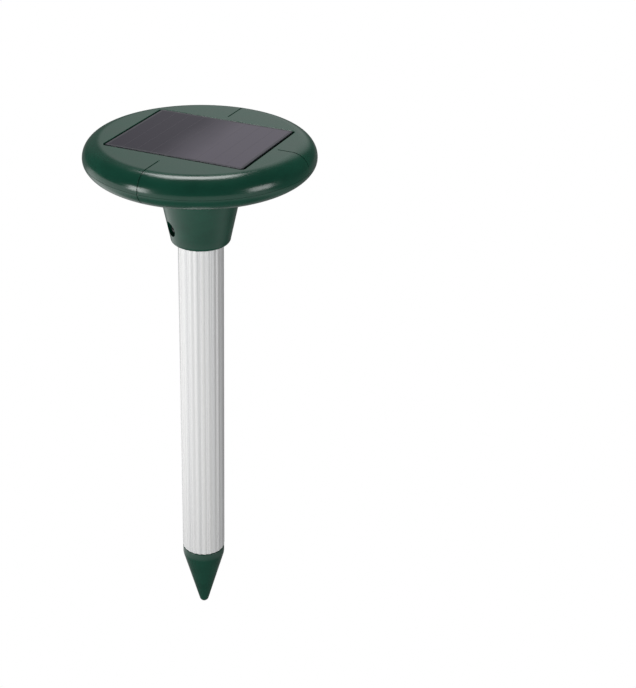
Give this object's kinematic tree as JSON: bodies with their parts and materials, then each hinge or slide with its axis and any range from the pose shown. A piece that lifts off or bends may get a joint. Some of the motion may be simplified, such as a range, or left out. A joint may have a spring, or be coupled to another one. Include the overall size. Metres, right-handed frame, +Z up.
{
  "type": "ultrasonic pest repeller",
  "caption": "Solar garden stake: round domed head with a rectangular solar panel, tapered neck, fluted aluminium tube and pointed plastic tip, with a push button under the head.",
  "frame": {"origin": "the point of the tip, on the tube's axis", "axes": "+Z up along the tube to the solar panel, +X along the panel's long side, -Y towards the side with the power button"},
  "size_m": [0.158, 0.158, 0.3834],
  "materials": {
    "green_plastic": "glossy moulded plastic",
    "black_plastic": "moulded",
    "white_plastic": "moulded",
    "panel_film": "clear laminate over dark cells",
    "silicon": "dark cell sheet",
    "board_laminate": "glass-fibre laminate",
    "aluminium": "satin anodised extrusion",
    "steel": "zinc plated",
    "nickel": "nickel strip",
    "copper": "enamelled copper wire",
    "rubber": "soft moulded rubber",
    "foam": "closed-cell foam",
    "cell_sleeve": "plastic sleeve over the cell's can",
    "ferrite": "sintered ferrite",
    "film": "thin plastic film",
    "wire_red": "wire insulation",
    "wire_black": "wire insulation"
  },
  "bodies": {
    "stake": {"top_cover": "green_plastic", "bottom_cover": "green_plastic", "tip_cone": "green_plastic", "shell_seal": "rubber", "stake_tube": "aluminium", "panel_face": "panel_film", "solar_cells": "silicon", "panel_backing": "board_laminate", "panel_gasket": "foam", "circuit_board": "board_laminate", "controller_chip": "black_plastic", "storage_capacitor": "black_plastic", "boost_inductor": "ferrite", "battery_socket": "white_plastic", "battery_plug": "white_plastic", "sounder_socket": "white_plastic", "sounder_plug": "white_plastic", "switch_body": "black_plastic", "battery_tray": "black_plastic", "battery_cell_1": "cell_sleeve", "battery_cell_2": "cell_sleeve", "cell_link": "nickel", "cell_tab_pos": "nickel", "cell_tab_neg": "nickel", "battery_strap": "black_plastic", "sounder_cover": "black_plastic", "sounder_case": "black_plastic", "sounder_yoke": "steel", "sounder_magnet": "ferrite", "sounder_foam_lower": "foam", "sounder_foam_upper": "foam", "lead_grommet": "rubber", "sounder_lead": "wire_black", "battery_wire_pos": "wire_red", "battery_wire_neg": "wire_black", "panel_wire_pos": "wire_red", "panel_wire_neg": "wire_black", "case_screw_1": "steel", "case_screw_2": "steel", "case_screw_3": "steel", "case_screw_4": "steel", "neck_screw_1": "steel", "board_screw_1": "steel", "strap_screw_1": "steel", "neck_screw_2": "steel", "board_screw_2": "steel", "strap_screw_2": "steel"},
    "button": {"power_button": "black_plastic", "button_seal": "rubber", "switch_plunger": "white_plastic"},
    "sounder_cone": {"sounder_diaphragm": "film", "voice_coil": "copper"}
  },
  "joints": [
    {"name": "button_press", "type": "slide", "parent": "stake", "child": "button", "axis": [0, 0, 1], "range_m": [0, 0.0016], "stiffness_N_per_m": 600, "springref_m": -0.002},
    {"name": "cone_travel", "type": "slide", "parent": "stake", "child": "sounder_cone", "axis": [0, 0, 1], "range_m": [-0.0003, 0.0003], "stiffness_N_per_m": 1200}
  ]
}
